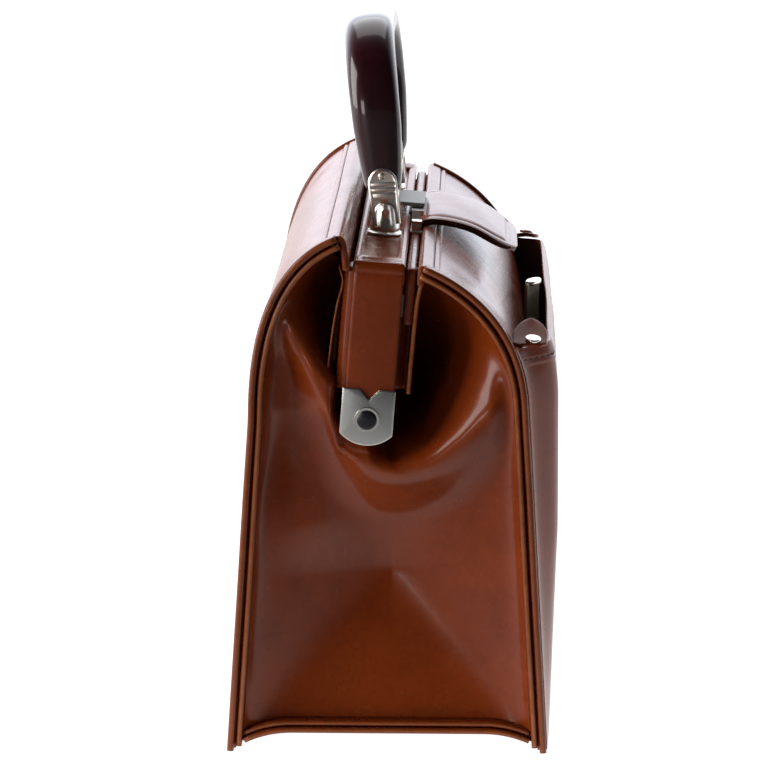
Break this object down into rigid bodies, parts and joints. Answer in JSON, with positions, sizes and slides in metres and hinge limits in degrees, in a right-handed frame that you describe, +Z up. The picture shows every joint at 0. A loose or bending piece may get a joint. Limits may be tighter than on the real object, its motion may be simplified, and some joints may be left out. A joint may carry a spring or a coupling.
{
  "type": "doctor bag",
  "caption": "Small leather doctor bag: stiff gusseted body on a hinged steel frame that opens wide, with a D-shaped wooden handle, hasp lock, open front pocket and tongue flap.",
  "frame": {"origin": "middle of the resting plane, below the middle of the bag's box", "axes": "+X along the bag's length, -Y towards the front pocket, +Z up"},
  "size_m": [0.24, 0.1188, 0.2574],
  "materials": {
    "leather": "glossy smooth aniline, red-brown",
    "leather_edge": "glossy, rubbed lighter along folds",
    "lining_cloth": "plain woven, matte",
    "board": "matte stiffener board",
    "frame_steel": "plain",
    "satin_nickel": "satin, brushed upright",
    "polished_nickel": "polished",
    "black_cap": "gloss",
    "lacquered_wood": "high gloss lacquer, dark maroon"
  },
  "bodies": {
    "bag_body": {"bottom_panel": "leather", "base_board": "board", "front_panel_lower": "leather", "front_panel_upper": "leather", "back_panel_lower": "leather", "back_panel_upper": "leather", "gusset_left_lower": "leather", "gusset_left_upper": "leather", "gusset_right_lower": "leather", "gusset_right_upper": "leather", "front_welts_lower": "leather_edge", "front_welts_upper": "leather_edge", "back_welts_lower": "leather_edge", "back_welts_upper": "leather_edge", "lining": "lining_cloth", "inner_pocket": "lining_cloth", "front_pocket": "leather", "pocket_hem": "leather_edge", "pocket_tab_left": "leather", "pocket_tab_right": "leather", "tab_snap_left": "polished_nickel", "tab_snap_right": "polished_nickel", "magnet_strap": "lining_cloth", "pocket_magnet": "polished_nickel"},
    "back_frame_half": {"back_frame_steel": "frame_steel", "back_frame_leather": "leather", "hinge_plate_left": "satin_nickel", "hinge_plate_right": "satin_nickel", "hinge_rivet_left": "polished_nickel", "hinge_rivet_right": "polished_nickel", "rivet_cap_left": "black_cap", "rivet_cap_right": "black_cap", "handle_base_left": "polished_nickel", "handle_base_right": "polished_nickel", "handle_pin_left": "polished_nickel", "handle_pin_right": "polished_nickel", "hasp_mount": "polished_nickel"},
    "front_frame_half": {"front_frame_steel": "frame_steel", "front_frame_leather": "leather", "inner_hinge_plate_left": "satin_nickel", "inner_hinge_plate_right": "satin_nickel", "lock_case": "polished_nickel", "lock_slide_track": "polished_nickel", "flap_anchor": "leather_edge"},
    "handle": {"handle_grip": "lacquered_wood", "handle_stirrup_left": "polished_nickel", "handle_stirrup_right": "polished_nickel"},
    "hasp": {"hasp_plate": "polished_nickel"},
    "release_button": {"lock_button": "polished_nickel"},
    "flap_root": {"flap_upper": "leather"},
    "tongue_flap": {"flap": "leather", "flap_magnet": "polished_nickel"}
  },
  "joints": [
    {"name": "back_opening", "type": "hinge", "parent": "bag_body", "child": "back_frame_half", "pos_m": [0, 0.007, 0.123], "axis": [-1, 0, 0], "range_deg": [0, 36], "deforming": ["back_panel_upper", "back_welts_upper", "gusset_left_upper", "gusset_right_upper"]},
    {"name": "front_opening", "type": "hinge", "parent": "bag_body", "child": "front_frame_half", "pos_m": [0, 0.007, 0.123], "axis": [1, 0, 0], "range_deg": [0, 36], "deforming": ["front_panel_upper", "front_welts_upper"]},
    {"name": "handle_swing", "type": "hinge", "parent": "back_frame_half", "child": "handle", "pos_m": [0, 0.00198, 0.1868], "axis": [1, 0, 0], "range_deg": [-45, 70]},
    {"name": "hasp_lift", "type": "hinge", "parent": "back_frame_half", "child": "hasp", "pos_m": [0, 0.00264, 0.18475], "axis": [-1, 0, 0], "range_deg": [0, 100]},
    {"name": "button_slide", "type": "slide", "parent": "front_frame_half", "child": "release_button", "axis": [1, 0, 0], "range_m": [0, 0.0035], "stiffness_N_per_m": 300},
    {"name": "flap_root_bend", "type": "hinge", "parent": "front_frame_half", "child": "flap_root", "pos_m": [0, -0.0166, 0.1812], "axis": [-1, 0, 0], "range_deg": [0, 36]},
    {"name": "flap_lift", "type": "hinge", "parent": "flap_root", "child": "tongue_flap", "pos_m": [0, -0.031, 0.178], "axis": [-1, 0, 0], "range_deg": [0, 100]}
  ],
  "couplings": [
    {"joint": "front_opening", "follows": "back_opening", "ratio": 1},
    {"joint": "flap_root_bend", "follows": "back_opening", "ratio": 1}
  ]
}
